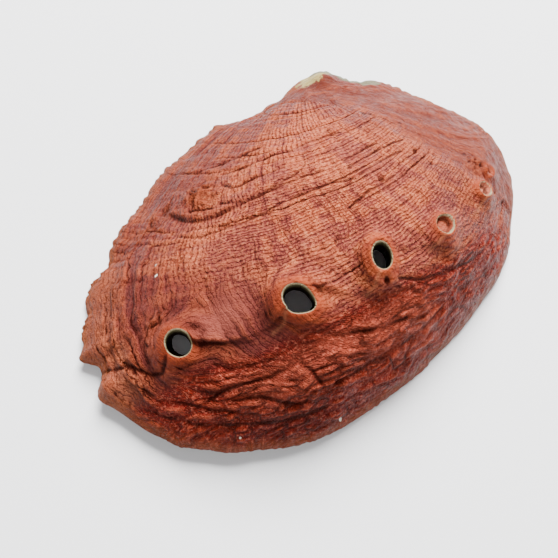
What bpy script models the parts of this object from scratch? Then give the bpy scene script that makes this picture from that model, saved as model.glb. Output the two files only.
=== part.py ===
# Red abalone shell: one ear-shaped dome of grown shell with a row of breathing holes.
# Plan positions and heights are in millimetres until the last step, which turns them to metres.
# +X runs to the blunt spire end, -X to the growing front end, and -Y is the side with the holes.

import math

import bmesh
import bpy
import numpy as np
from mathutils import Matrix, Vector

MM = 0.001

# Overall form
CROWN = (8.0, -22.0)
CROWN_HEIGHT = 50.0
INNER_CROWN_HEIGHT = 44.5
PLAN_CENTRE = (1.46, 0.08)
SPIRE = (54.0, 49.0)
EDGE_RISE = 0.5

# Margin as (angle about the crown in degrees, radius in mm)
MARGIN = [
    (0, 85.5), (5, 88.6), (10, 89.8), (20, 89.0), (30, 89.3), (40, 92.2), (47, 91.0), (50, 92.4), (55, 96.0),
    (60, 93.0), (65, 88.1), (72, 84.2), (76, 83.2), (80, 83.6), (84, 84.8), (88, 87.2), (92, 87.6), (95, 87.4),
    (100, 86.7), (105, 88.3), (110, 89.2), (115, 89.8), (120, 91.2), (125, 94.2), (130, 95.8), (136, 96.0),
    (139, 99.8), (143.5, 102.9), (148, 103.0), (152.5, 105.2), (155, 105.0), (157, 106.3), (160, 101.5),
    (161.5, 100.7), (166, 104.6), (170.5, 100.4), (175, 97.3), (180, 93.9), (185, 90.6), (190, 85.1),
    (195, 81.0), (200, 75.8), (210, 68.0), (220, 60.5), (230, 53.5), (240, 48.7), (250, 45.8), (260, 44.1),
    (270, 43.0), (280, 43.2), (290, 44.5), (300, 46.9), (310, 50.7), (320, 56.4), (330, 62.5), (340, 68.7),
    (350, 78.0),
]

# The smoothed margin that shapes the dome
DOME_MARGIN = [
    (0, 87.0), (20, 89.5), (40, 91.0), (55, 91.0), (70, 88.5), (90, 86.5), (110, 89.0), (130, 95.5),
    (145, 102.0), (155, 103.5), (165, 102.5), (175, 97.3), (190, 85.5), (205, 71.8), (220, 60.5),
    (235, 50.8), (250, 45.8), (270, 43.0), (290, 44.5), (310, 50.7), (325, 59.5), (340, 69.0), (350, 78.0),
]

# Height of the margin above the surface that it lies on; it touches where this is below zero
MARGIN_LIFT = [
    (0, -0.5), (8, -0.3), (20, 1.0), (45, 3.0), (90, 3.0), (110, 1.5), (124, -0.9), (134, -0.9),
    (150, 2.0), (165, 5.0), (180, 6.0), (195, 6.0), (210, 4.0), (225, 2.0), (245, 0.6), (262, -0.5),
    (280, -0.5), (295, 0.6), (315, 1.6), (332, 1.4), (348, -0.4),
]

# Fullness of the dome by direction: z = (1 - r^n)^m
FULLNESS_N = [(0, 2.0), (45, 1.9), (90, 1.9), (135, 1.9), (180, 2.0), (225, 2.4), (270, 2.8), (315, 2.6)]
FULLNESS_M = [(0, 1.0), (45, 1.0), (90, 1.0), (135, 0.95), (180, 0.9), (225, 0.8), (270, 0.75), (315, 0.8)]

# Inner ledge (columellar shelf) width by direction
SHELF_WIDTH = [(0, 5.0), (40, 2.0), (90, 0.0), (160, 0.0), (190, 3.0), (215, 6.5), (250, 8.0), (290, 9.0), (330, 9.0)]
SHELF_RISE = 3.5
LIP_THICKNESS = 2.4

# Breathing holes: x, y, half axes, turn of the oval in degrees, rim height, rim slope in x and y
HOLES = {
    "front": (-62.0, -7.8, 4.9, 4.3, 115.0, 29.4, 0.34, 0.10),
    "middle": (-25.5, -26.4, 5.4, 4.5, 120.0, 46.2, 0.20, 0.20),
    "rear": (3.5, -34.2, 4.6, 3.6, 60.0, 50.9, 0.08, 0.24),
}
# Closed older holes, with the same values, then the pit depth and the height of the lip
SCARS = {
    "first": (29.3, -38.3, 3.3, 2.8, 20.0, 46.8, -0.25, 0.3, 1.7, 1.2),
    "second": (57.3, -34.5, 2.8, 2.2, 20.0, 31.2, -0.5, 0.36, 0.8, 0.9),
    "third": (70.0, -28.5, 2.6, 1.9, 20.0, 23.4, -0.6, 0.4, 0.0, 0.4),
}
CHIMNEY_REACH = 9.0
CHIMNEY_LIP = 1.5
# The relief never cuts deeper than this into the wall
DEEPEST_RELIEF = 2.4

# Lobes and hollows: x, y, radius, height
LOBES = [
    (-59.5, -4.0, 16.0, 2.4), (-25.0, -22.5, 13.0, 1.7), (3.5, -31.0, 11.0, 1.2),
    (-38.0, -45.0, 7.5, 2.6), (-46.0, -42.0, 6.0, 1.0), (-24.0, -47.0, 7.0, 1.3), (-88.0, 2.5, 6.5, 2.0),
    (-40.0, -25.0, 7.0, -1.8), (-9.0, -35.0, 5.5, -1.6), (18.0, -37.5, 5.5, -1.2), (45.0, -36.0, 5.5, -1.1),
    (-74.0, 3.0, 7.0, 1.0), (-66.0, -15.0, 6.0, -1.0), (57.0, 50.5, 8.0, 2.2), (-31.0, 28.5, 4.2, -1.4),
    (-24.5, 23.5, 4.0, -1.2), (-27.0, 32.5, 3.5, 1.2), (-35.0, 40.0, 4.2, -1.4), (-41.5, 37.5, 3.2, -1.2),
    (-30.0, 42.5, 4.0, 1.0), (25.4, -12.3, 1.9, -3.0), (46.6, -9.4, 1.6, -2.2), (47.5, 18.0, 2.2, -0.8),
    (64.5, -18.0, 2.6, -0.8), (-62.0, 5.0, 4.0, 0.6), (10.0, -45.0, 6.0, 1.0), (28.0, -46.0, 6.0, 0.9),
    (-60.0, -24.0, 8.0, 1.0), (-12.0, -48.0, 6.0, 1.0),
]

# Grooves in the spiral and growth directions: depth, half width, points
GROOVES = [
    (0.9, 1.0, [(-38, 29), (-36, 23), (-32, 17), (-27, 13.5), (-20, 9.7), (-12, 6.4), (-4, 4.4), (5, 1), (13, -3), (19, -7)]),
    (1.0, 1.1, [(-32, 31), (-29, 26), (-26, 21), (-21, 18), (-17, 14.5), (-11, 11.3), (0, 9), (7, 6.2), (14, 3)]),
    (0.9, 1.0, [(-19, 24), (-17, 20), (-13, 16), (-8, 13.8), (0, 12), (8, 10.3)]),
    (0.8, 1.0, [(-13, 30), (-11.5, 25), (-9, 22.3), (-3, 20.7), (2, 18.5), (7, 16)]),
    (0.8, 1.1, [(-9, 34), (-2, 29), (6, 25), (13, 21.5), (21, 19), (26, 16.7), (32, 14.5)]),
    (0.6, 1.0, [(-14, 45), (-6, 40), (2, 35), (9, 32)]),
    (0.5, 0.9, [(21, 2.3), (27, 1.6), (33, 2.2), (38, 1.5)]),
    (0.5, 0.9, [(19, -1.3), (28, -1.6), (36, -1.2), (48, -2.4)]),
    (0.5, 0.9, [(20, -6.6), (30, -6.0), (42, -6.4)]),
    (0.5, 0.9, [(8, -13.7), (17, -13.5), (25, -14.0), (31, -13.8)]),
    (0.9, 1.1, [(-60, 10), (-57.5, 7), (-58, 3)]),
    (0.9, 1.1, [(-66.5, 8.5), (-65, 5), (-63, 2)]),
    (1.5, 1.3, [(-88, 11), (-84, 7), (-80.5, 3), (-78.5, 0), (-79, -3)]),
    (1.6, 1.3, [(-79, 4), (-77.5, -2), (-75.5, -7), (-72, -9.8), (-68.5, -8.5), (-66, -6.5)]),
    (1.0, 1.2, [(-80, -8), (-78.5, -15), (-74, -21), (-69.5, -26), (-66, -31), (-62, -35)]),
    (1.0, 1.3, [(-84, -12), (-80, -21), (-74, -29), (-67, -36), (-60, -42), (-52, -48), (-44, -52), (-35, -55)]),
    (0.9, 1.2, [(-67, -27), (-60, -29), (-54, -32), (-48, -36), (-42, -39), (-36, -40)]),
    (0.9, 1.2, [(-58, -20), (-54, -26), (-48, -30.5), (-42, -34), (-37, -35)]),
    (0.8, 1.1, [(-60, -33), (-53, -38), (-48, -44), (-44, -48)]),
    (0.9, 1.0, [(-36, -40.5), (-34.3, -44), (-33.8, -49)]),
    (0.9, 1.2, [(-26, -39), (-22, -43), (-16, -46), (-8, -50), (2, -52)]),
    (0.9, 1.2, [(-30, -51), (-22, -54), (-10, -56), (4, -57), (16, -56)]),
    (0.8, 1.1, [(4, -42), (12, -46.5), (22, -49.5), (33, -51), (44, -51)]),
]

# Ledges drop on the right-hand side of the line: drop, reach above, reach below, points
LEDGES = [
    (2.0, 4.0, 7.0, [(-58, -8), (-55, -12), (-52, -16), (-48, -21), (-43, -24.5), (-37, -26.8), (-31, -26)]),
    (2.0, 4.0, 7.0, [(-18, -27), (-15, -32), (-11, -36), (-5, -40), (2, -43)]),
    (1.6, 3.5, 6.0, [(10, -33), (13, -37), (18, -40), (24, -42)]),
    (0.9, 2.5, 26.0, [(60, -29), (55, -24), (50, -15), (48.5, -4), (49, 8), (47.5, 20), (44, 30)]),
]

# Line through the holes, from the front margin to the rear; below it lies the steep flank
HOLE_ROW = [(-92, -4), (-75, -10), (-62, -13), (-45, -25), (-25.5, -31.5), (4, -39.5), (30, -43), (57, -39.5), (92, -28)]

# Growth spiral about the spire
SPIRAL_PITCH = 0.42
SEAM_ANGLE = math.radians(75.0)
LAST_WELL_SET_ANGLE = math.radians(205.0)

# Grids, before and after thinning
OUTER_CELLS = 120
INNER_CELLS = 60
KEPT_SHARE = 0.24
RELIEF_SEED = 41
LATTICE = 64


def ring_value(angle, table):
    """Smooth periodic curve through (degrees, value) pairs."""
    knots = np.array([row[0] for row in table], float)
    values = np.array([row[1] for row in table], float)
    knots = np.concatenate([knots[-2:] - 360.0, knots, knots[:2] + 360.0])
    values = np.concatenate([values[-2:], values, values[:2]])
    slopes = np.gradient(values, knots)
    degrees = np.degrees(angle) % 360.0
    i = np.clip(np.searchsorted(knots, degrees, side="right") - 1, 0, len(knots) - 2)
    span = knots[i + 1] - knots[i]
    s = (degrees - knots[i]) / span
    h00 = (1 + 2 * s) * (1 - s) ** 2
    h10 = s * (1 - s) ** 2
    h01 = s * s * (3 - 2 * s)
    h11 = s * s * (s - 1)
    return h00 * values[i] + h10 * span * slopes[i] + h01 * values[i + 1] + h11 * span * slopes[i + 1]


def smooth_step(low, high, value):
    s = np.clip((value - low) / (high - low), 0.0, 1.0)
    return s * s * (3.0 - 2.0 * s)


def lattice_noise(u, v, seed):
    """Smooth noise between -1 and 1 on a square lattice."""
    table = np.random.default_rng(seed).uniform(-1.0, 1.0, (LATTICE, LATTICE))
    iu, iv = np.floor(u).astype(int), np.floor(v).astype(int)
    fu, fv = u - iu, v - iv
    fu, fv = fu * fu * (3 - 2 * fu), fv * fv * (3 - 2 * fv)
    a = table[iu % LATTICE, iv % LATTICE]
    b = table[(iu + 1) % LATTICE, iv % LATTICE]
    c = table[iu % LATTICE, (iv + 1) % LATTICE]
    d = table[(iu + 1) % LATTICE, (iv + 1) % LATTICE]
    return (a * (1 - fu) + b * fu) * (1 - fv) + (c * (1 - fu) + d * fu) * fv


def line_distance(x, y, points):
    """Distance to a line of points, and the side: positive on its right-hand side."""
    best = np.full(x.shape, 1e9)
    side = np.ones(x.shape)
    for (ax, ay), (bx, by) in zip(points[:-1], points[1:]):
        ux, uy = bx - ax, by - ay
        s = np.clip(((x - ax) * ux + (y - ay) * uy) / (ux * ux + uy * uy), 0.0, 1.0)
        distance = np.hypot(x - ax - s * ux, y - ay - s * uy)
        cross = (x - ax) * uy - (y - ay) * ux
        nearer = distance < best
        best = np.where(nearer, distance, best)
        side = np.where(nearer, np.where(cross >= 0, 1.0, -1.0), side)
    return best, side


def end_fade(x, y, points, length):
    """1 along a line, falling to 0 past its two ends."""
    fade = np.ones(x.shape)
    for (ax, ay), (bx, by) in ((points[0], points[1]), (points[-1], points[-2])):
        ux, uy = bx - ax, by - ay
        along = ((x - ax) * ux + (y - ay) * uy) / math.hypot(ux, uy)
        fade = fade * smooth_step(-length, length * 0.4, along)
    return fade


def dome_height(angle, r, crown_height, edge_rise):
    """Height of the smooth dome at share r of the way from crown to margin."""
    edge = ring_value(angle, MARGIN_LIFT) + edge_rise
    n = ring_value(angle, FULLNESS_N)
    m = ring_value(angle, FULLNESS_M)
    return edge + (crown_height - edge) * np.clip(1.0 - np.clip(r, 0.0, 1.0) ** n, 0.0, 1.0) ** m


def oval_distance(x, y, place):
    """Distance outside an oval rim, in mm, from its centre, half axes and turn."""
    turn = math.radians(place[4])
    dx, dy = x - place[0], y - place[1]
    u = dx * math.cos(turn) + dy * math.sin(turn)
    v = -dx * math.sin(turn) + dy * math.cos(turn)
    share = np.sqrt((u / place[2]) ** 2 + (v / place[3]) ** 2)
    return (share - 1.0) * 0.5 * (place[2] + place[3])


def with_chimneys(x, y, z):
    """Raises the rims of the open and the closed holes out of the dome."""
    for place in list(HOLES.values()) + list(SCARS.values()):
        outside = np.clip(oval_distance(x, y, place), 0.0, None)
        plane = place[5] + place[6] * (x - place[0]) + place[7] * (y - place[1])
        reach = CHIMNEY_REACH * (0.45 + 0.13 * min(place[2], place[3]))
        blend = (1.0 - smooth_step(0.0, 1.0, outside / reach)) ** 1.8
        z = z + blend * np.clip(plane - z, -1.5, None)
    return z


def growth_fields(x, y):
    """Spiral coordinate t, age angle and radius about the spire."""
    dx, dy = x - SPIRE[0], y - SPIRE[1]
    radius = np.hypot(dx, dy) + 0.5
    phi = (np.arctan2(dy, dx) - SEAM_ANGLE) % (2 * math.pi) + SEAM_ANGLE
    t = np.log(radius) + SPIRAL_PITCH * phi
    turn = np.radians(np.arange(62.0, 262.0, 1.0))
    reach = ring_value(turn, DOME_MARGIN)
    mx = CROWN[0] + reach * np.cos(turn) - SPIRE[0]
    my = CROWN[1] + reach * np.sin(turn) - SPIRE[1]
    psi = np.arctan2(my, mx) % (2 * math.pi)
    level = np.log(np.hypot(mx, my)) + SPIRAL_PITCH * psi
    kept = psi < LAST_WELL_SET_ANGLE
    level = np.maximum.accumulate(level[kept]) + 1e-6 * np.arange(kept.sum())
    age = phi - np.interp(t, level, psi[kept])
    return t, age, radius


def flank_share(x, y):
    distance, side = line_distance(x, y, HOLE_ROW)
    return smooth_step(0.0, 9.0, distance * side)


def relief(x, y, r):
    """Height of the grown relief along the surface normal, in mm."""
    t, age, radius = growth_fields(x, y)
    flank = flank_share(x, y)
    top = 1.0 - flank
    front = smooth_step(-60.0, -76.0, x)
    warp = 0.5 * lattice_noise(x / 13.0, y / 13.0, RELIEF_SEED)

    h = np.zeros(x.shape)
    # Broad spiral cords over the top, and the bold wavy folds of the flank
    cords = lattice_noise(t * 24.0 + warp, age * 4.0, RELIEF_SEED + 1)
    h += 0.45 * top * cords
    folds = 1.0 - 2.0 * np.abs(lattice_noise(t * 17.0 + 1.4 * warp, age * 5.0, RELIEF_SEED + 2))
    h += 0.85 * flank * folds
    knots = lattice_noise(x / 7.0 + warp, y / 5.0, RELIEF_SEED + 3)
    h += 0.55 * flank * knots
    # Growth steps, bold at the front end
    steps = lattice_noise(age * 26.0 + warp, t * 6.0, RELIEF_SEED + 4)
    h += (0.25 * top + 0.7 * front) * steps
    # Uneven old surface of the upper side
    h += 0.5 * top * lattice_noise(x / 11.0, y / 11.0, RELIEF_SEED + 5)
    h = h * (1.0 - 0.75 * smooth_step(0.90, 1.0, r))

    for place in HOLES.values():
        outside = oval_distance(x, y, place)
        h = h * smooth_step(0.0, 8.0, np.abs(outside))
        h += CHIMNEY_LIP * np.exp(-(np.clip(outside - 0.8, 0.0, None) / 1.7) ** 2)
        # A dip round the foot of the rim, deeper on the flank side
        h -= (0.5 + 1.1 * flank) * np.exp(-((outside - 9.0) / 3.0) ** 2)
    for place in SCARS.values():
        outside = oval_distance(x, y, place)
        h = h * smooth_step(0.0, 6.0, np.abs(outside))
        h += place[9] * np.exp(-(np.clip(outside - 0.3, 0.0, None) / 1.4) ** 2)
        h -= (place[8] + place[9]) * smooth_step(0.4, -1.6, outside)

    for depth, width, points in GROOVES:
        distance, side = line_distance(x, y, points)
        h -= depth * np.exp(-(distance / width) ** 2) * end_fade(x, y, points, 3.0)
    for drop, above, below, points in LEDGES:
        distance, side = line_distance(x, y, points)
        signed = distance * side
        fall = smooth_step(-1.6, 1.6, signed)
        shape = (1.0 - fall) * 0.4 * np.exp(-(signed / above) ** 2) - fall * np.exp(-(signed / below) ** 2)
        h += drop * shape * end_fade(x, y, points, 4.0)
    for lx, ly, size, height in LOBES:
        h += height * np.exp(-((x - lx) ** 2 + (y - ly) ** 2) / (0.6 * size) ** 2)
    low = np.clip(-h, 0.0, None)
    return np.clip(h, 0.0, None) - low / (1.0 + low / DEEPEST_RELIEF)


def disc_polar(u, v):
    """Turns square grid places (-1 to 1) to angle and share of the radius in a disc."""
    dx = u * np.sqrt(1.0 - 0.5 * v * v)
    dy = v * np.sqrt(1.0 - 0.5 * u * u)
    return np.arctan2(dy, dx), np.hypot(dx, dy)


def grid_sheet(cells, height_of):
    """A grid sheet laid over the margin's plan, with height_of(angle, r, x, y) as its height."""
    bm = bmesh.new()
    bmesh.ops.create_grid(bm, x_segments=cells, y_segments=cells, size=1.0)
    flat = np.array([vert.co[:] for vert in bm.verts])
    angle, r = disc_polar(flat[:, 0], flat[:, 1])
    x, y, z = height_of(angle, np.minimum(r, 1.0))
    for vert, place in zip(bm.verts, zip(x, y, z)):
        vert.co = place
    bm.normal_update()
    return bm, angle, r, x, y


def outer_place(angle, r):
    smooth = ring_value(angle, DOME_MARGIN)
    reach = r * (smooth + (ring_value(angle, MARGIN) - smooth) * smooth_step(0.78, 1.0, r))
    x = CROWN[0] + reach * np.cos(angle)
    y = CROWN[1] + reach * np.sin(angle)
    z = dome_height(angle, r, CROWN_HEIGHT, EDGE_RISE)
    return x, y, with_chimneys(x, y, z)


def inner_place(angle, r):
    smooth = ring_value(angle, DOME_MARGIN)
    reach = r * (smooth + (ring_value(angle, MARGIN) - smooth) * smooth_step(0.78, 1.0, r) - LIP_THICKNESS)
    shelf = ring_value(angle, SHELF_WIDTH) / smooth
    dome = dome_height(angle, r / (1.0 - shelf), INNER_CROWN_HEIGHT, 0.0)
    ledge = ring_value(angle, MARGIN_LIFT) + SHELF_RISE * smooth_step(1.0, 1.0 - shelf - 0.05, r)
    z = np.where(shelf > 0.004, np.maximum(dome, ledge), dome)
    return CROWN[0] + reach * np.cos(angle), CROWN[1] + reach * np.sin(angle), z


def shell_mesh():
    """The closed shell: an outer and an inner sheet, joined along the margin."""
    outer, angle, r, x, y = grid_sheet(OUTER_CELLS, outer_place)
    normals = np.array([vert.normal[:] for vert in outer.verts])
    if normals[:, 2].mean() < 0:
        normals = -normals
    bump = relief(x, y, r)
    rim = r > 0.9999
    for vert, normal, height, on_rim in zip(outer.verts, normals, bump, rim):
        if on_rim:
            continue
        vert.co = vert.co + Vector(normal) * float(height)
    inner, angle, r, x, y = grid_sheet(INNER_CELLS, inner_place)

    outer_mesh = bpy.data.meshes.new("outer sheet")
    outer.to_mesh(outer_mesh)
    outer.free()
    inner.from_mesh(outer_mesh)
    bpy.data.meshes.remove(outer_mesh)
    edges = [edge for edge in inner.edges if edge.is_boundary]
    bmesh.ops.bridge_loops(inner, edges=edges)
    bmesh.ops.recalc_face_normals(inner, faces=inner.faces)
    bmesh.ops.triangulate(inner, faces=inner.faces)
    move = Vector((-PLAN_CENTRE[0], -PLAN_CENTRE[1], 0.0))
    bmesh.ops.translate(inner, verts=inner.verts, vec=move)
    bmesh.ops.scale(inner, verts=inner.verts, vec=(MM, MM, MM))
    mesh = bpy.data.meshes.new("abalone_shell")
    inner.to_mesh(mesh)
    inner.free()
    return mesh


def shell_material():
    material = bpy.data.materials.new("red outer shell layer")
    material.use_nodes = True
    shader = material.node_tree.nodes["Principled BSDF"]
    shader.inputs["Base Color"].default_value = (0.42, 0.14, 0.09, 1.0)
    shader.inputs["Roughness"].default_value = 0.55
    shader.inputs["Metallic"].default_value = 0.0
    return material


def hole_cutter(name, place, collection):
    """A round tapering cutter, squeezed to the hole's oval and square to its tilted rim."""
    bm = bmesh.new()
    bmesh.ops.create_cone(
        bm, cap_ends=True, segments=24, radius1=0.92 * MM, radius2=1.06 * MM, depth=34.0 * MM)
    mesh = bpy.data.meshes.new(name)
    bm.to_mesh(mesh)
    bm.free()
    cutter = bpy.data.objects.new(name, mesh)
    rim = Vector((-place[6], -place[7], 1.0)).to_track_quat("Z", "Y").to_matrix().to_4x4()
    turn = Matrix.Rotation(math.radians(place[4]), 4, "Z")
    size = Matrix.Diagonal((place[2], place[3], 1.0, 1.0))
    at = ((place[0] - PLAN_CENTRE[0]) * MM, (place[1] - PLAN_CENTRE[1]) * MM, place[5] * MM)
    cutter.matrix_world = Matrix.Translation(at) @ turn @ (turn.inverted() @ rim @ turn) @ size
    hide_cutter(cutter, collection)
    return cutter


def hide_cutter(cutter, collection):
    cutter.hide_render = True
    cutter.display_type = "WIRE"
    collection.objects.link(cutter)


def floor_cutter(collection):
    """A slab below zero height, which leaves flat facets where the margin touches the ground."""
    bm = bmesh.new()
    bmesh.ops.create_cube(bm, size=1.0)
    bmesh.ops.scale(bm, verts=bm.verts, vec=(260.0 * MM, 200.0 * MM, 10.0 * MM))
    bmesh.ops.translate(bm, verts=bm.verts, vec=(0.0, 0.0, -5.0 * MM))
    mesh = bpy.data.meshes.new("ground slab")
    bm.to_mesh(mesh)
    bm.free()
    cutter = bpy.data.objects.new("ground slab", mesh)
    hide_cutter(cutter, collection)
    return cutter


def cut(shell, cutter):
    boolean = shell.modifiers.new(cutter.name, "BOOLEAN")
    boolean.operation = "DIFFERENCE"
    boolean.solver = "EXACT"
    boolean.object = cutter


def main():
    for old in list(bpy.data.objects):
        bpy.data.objects.remove(old, do_unlink=True)

    parts = bpy.data.collections.new("abalone shell")
    cutters = bpy.data.collections.new("cutters")
    bpy.context.scene.collection.children.link(parts)
    bpy.context.scene.collection.children.link(cutters)

    shell = bpy.data.objects.new("abalone_shell", shell_mesh())
    shell.data.materials.append(shell_material())
    parts.objects.link(shell)

    thin = shell.modifiers.new("thin the grid", "DECIMATE")
    thin.ratio = KEPT_SHARE
    for name, place in HOLES.items():
        cut(shell, hole_cutter(name + " hole", place, cutters))
    cut(shell, floor_cutter(cutters))


main()
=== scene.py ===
import functools
import math

import bmesh
import bpy
import numpy as np
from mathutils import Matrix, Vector


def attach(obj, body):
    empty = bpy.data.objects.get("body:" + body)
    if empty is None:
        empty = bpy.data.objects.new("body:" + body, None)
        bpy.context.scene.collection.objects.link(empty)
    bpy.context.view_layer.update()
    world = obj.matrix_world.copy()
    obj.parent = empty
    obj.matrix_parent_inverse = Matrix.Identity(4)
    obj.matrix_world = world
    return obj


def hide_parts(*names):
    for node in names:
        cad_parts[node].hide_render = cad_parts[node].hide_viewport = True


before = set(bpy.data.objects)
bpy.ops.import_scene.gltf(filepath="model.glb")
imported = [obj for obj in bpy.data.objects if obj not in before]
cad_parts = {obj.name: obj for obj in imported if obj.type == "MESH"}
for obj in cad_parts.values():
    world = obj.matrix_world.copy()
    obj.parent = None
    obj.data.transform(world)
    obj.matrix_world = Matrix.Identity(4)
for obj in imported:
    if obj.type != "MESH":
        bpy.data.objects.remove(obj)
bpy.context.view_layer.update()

# Sizes, in millimetres
MM = 0.001
CROWN = (8.0, -22.0)
CROWN_HEIGHT = 50.0
INNER_CROWN_HEIGHT = 44.5
PLAN_CENTRE = (1.46, 0.08)
SPIRE = (54.0, 49.0)
EDGE_RISE = 1.3
LIP_THICKNESS = 2.4
OUTER_CELLS = 284
INNER_CELLS = 110

# Margin as (angle about the crown in degrees, radius)
MARGIN = [
    (0, 85.5), (5, 88.6), (10, 89.8), (20, 89), (30, 89.3), (40, 92.2), (47, 91), (50, 92.4), (55, 96),
    (60, 93), (65, 88.1), (72, 84.2), (76, 83.2), (80, 83.6), (84, 84.8), (88, 87.2), (92, 87.6),
    (95, 87.4), (100, 86.7), (105, 88.3), (110, 89.2), (115, 89.8), (120, 91.2), (125, 94.2),
    (130, 95.8), (136, 96), (139, 99.8), (143.5, 102.9), (148, 103), (152.5, 105.2), (155, 105.2),
    (157, 107.4), (159.5, 101.7), (161.5, 100.7), (166, 104.6), (170.5, 100.4), (175, 97.3),
    (180, 93.9), (185, 90.6), (190, 85.1), (195, 81), (200, 75.8), (210, 68), (220, 60.5), (230, 53.5),
    (240, 48.7), (250, 45.8), (260, 44.1), (270, 43), (280, 43.2), (290, 44.5), (300, 46.9),
    (310, 50.7), (320, 56.4), (330, 62.5), (340, 68.7), (350, 78),
]
# The smoothed margin that shapes the dome
DOME_MARGIN = [
    (0, 87), (20, 89.5), (40, 91), (55, 91), (70, 88.5), (90, 86.5), (110, 89), (130, 95.5), (145, 102),
    (155, 103.5), (165, 102.5), (175, 97.3), (190, 85.5), (205, 71.8), (220, 60.5), (235, 50.8),
    (250, 45.8), (270, 43), (290, 44.5), (310, 50.7), (325, 59.5), (340, 69), (350, 78),
]
# Height of the margin above the floor
MARGIN_LIFT = [
    (0, -0.5), (8, -0.3), (20, 1), (45, 3), (90, 3), (110, 1.5), (124, -0.9), (134, -0.9), (150, 2),
    (165, 5), (180, 6), (195, 6), (210, 4), (225, 2), (245, 0.6), (262, -0.5), (280, -0.5), (295, 0.6),
    (315, 1.6), (332, 1.4), (348, -0.4),
]
# How full the dome is by angle: an inner and an outer exponent of its profile
FULLNESS_N = [(0, 2), (45, 1.9), (90, 1.9), (135, 1.9), (180, 2), (225, 2.4), (270, 2.8), (315, 2.6)]
FULLNESS_M = [(0, 1), (45, 1), (90, 1), (135, 0.95), (180, 0.9), (225, 0.8), (270, 0.75), (315, 0.8)]
# The flat lip inside the margin: width by angle, and its height over the margin
SHELF_WIDTH = [(0, 5), (40, 2), (90, 0), (160, 0), (190, 3), (215, 6.5), (250, 8), (290, 9), (330, 9)]
SHELF_RISE = 3.5

# Breathing holes: x, y, half axes, turn of the oval, rim height, rim slope in x and y
HOLES = [
    (-62, -7.8, 4.9, 4.3, 115, 29.4, 0.34, 0.10),
    (-25.5, -26.4, 5.4, 4.5, 120, 46.2, 0.20, 0.20),
    (3.5, -34.2, 4.6, 3.6, 60, 50.9, 0.08, 0.24),
]
# Closed older holes, with the same values, then the pit depth, the height of the lip and how pale it is
SCARS = [
    (29.3, -38.3, 3.6, 3.1, 20, 47, -0.25, 0.3, 2.2, 1.4, 0.9),
    (57.3, -34.5, 3.2, 2.6, 20, 32.2, -0.5, 0.36, 1, 1.4, 0.8),
    (70, -28.5, 2.6, 1.9, 20, 23.4, -0.6, 0.4, 0.3, 0.7, 0.2),
]
# How pale the plug of each closed hole is
PLUG_PALE = (0.3, 1.0, 0.3)
# Worn rough patches: x, y, radius, depth
ROUGH_PATCHES = [
    (-21.5, 33.5, 6, 1.5), (-39.5, 39.9, 2.4, 0.9), (-31.9, 41.3, 2.4, 0.9), (66.6, -24.8, 4.2, 1.3),
    (-62.3, 4.4, 4.2, 0.9),
]
# Open pits, with painted shade inside: x, y, radius
PITS = [
    (25.7, -11.9, 1), (46.4, -9, 0.9), (0.2, -40.2, 0.8), (-33, 40, 0.6), (47.6, 18.3, 0.8),
    (48.9, 16.1, 0.7), (54.7, 5.9, 0.7), (51.1, -13.7, 0.6), (66.5, -10, 0.7), (65.8, -18.6, 0.7),
    (64, -22.4, 0.6),
]
# Pale specks of worm tube and grit: x, y, radius
SPECKS = [(-51.8, 18.8, 0.8), (-49.2, 22.5, 0.6), (-65, -42.5, 0.5), (-34, -60, 0.7), (10, 30, 0.35)]
# The second hole is drawn out to a blunt point at one end of its oval, by this share
POINTED = {HOLES[1]: 0.17}
POINT_SHARPNESS = 5
# The raised ground round a hole: its reach, the share of it that a hole has before and by its size, how
# steeply it falls, and how far it may cut into the dome
CHIMNEY_REACH, CHIMNEY_BASE, CHIMNEY_BY_SIZE = 9.0, 0.45, 0.13
CHIMNEY_FALL = 1.8
CHIMNEY_CUT = -1.5
CHIMNEY_LIP = 2.0
# Growth lines bow out round a hole by this angle, within this distance
HOLE_BOW, BOW_REACH = 0.09, 6.0
# How much less the relief of the flank is past the row's old end, and where it fades there in x
FLANK_LOSS, FLANK_END = 0.65, (46, 72)
# Teeth of the margin: widths in mm, strength all round and added on the far side, and the share of the
# radius where they and the true margin set in
TOOTH_WIDTHS = (3.2, 1.7)
TOOTH_HEIGHT, FAR_TOOTH_HEIGHT = 0.25, 0.45
TEETH_FROM, MARGIN_FROM = 0.955, 0.78
WALL_DEPTH = 7.0
INNER_HOLE = 0.92
# Rings that roll a hole's rim over: inwards, down, and how far into the hole's painted shade, 0 to 1
RIM_ROLL = [(0.22, 0.10, 0), (0.22, 0.30, 0.05), (0.12, 0.60, 0.25), (0.10, 1.8, 0.7), (0.1, 2.2, 1)]
# Rings that roll the margin under: inwards, down
MARGIN_ROLL = [(0, 0.5), (0.35, 0.45), (0.5, 0.3)]
# Soft spots of colour and finish: x, y, reach in x, reach in y. The spot in the hollow is partly the
# shell's pinker colour, partly painted sheen
SADDLE = (-47, -12.5, 9.5, 6.5)
HOLLOW_GLOW = (-66, 0.5, 5, 6)
CREAM = (56.5, 54.5, 10, 7)

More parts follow.
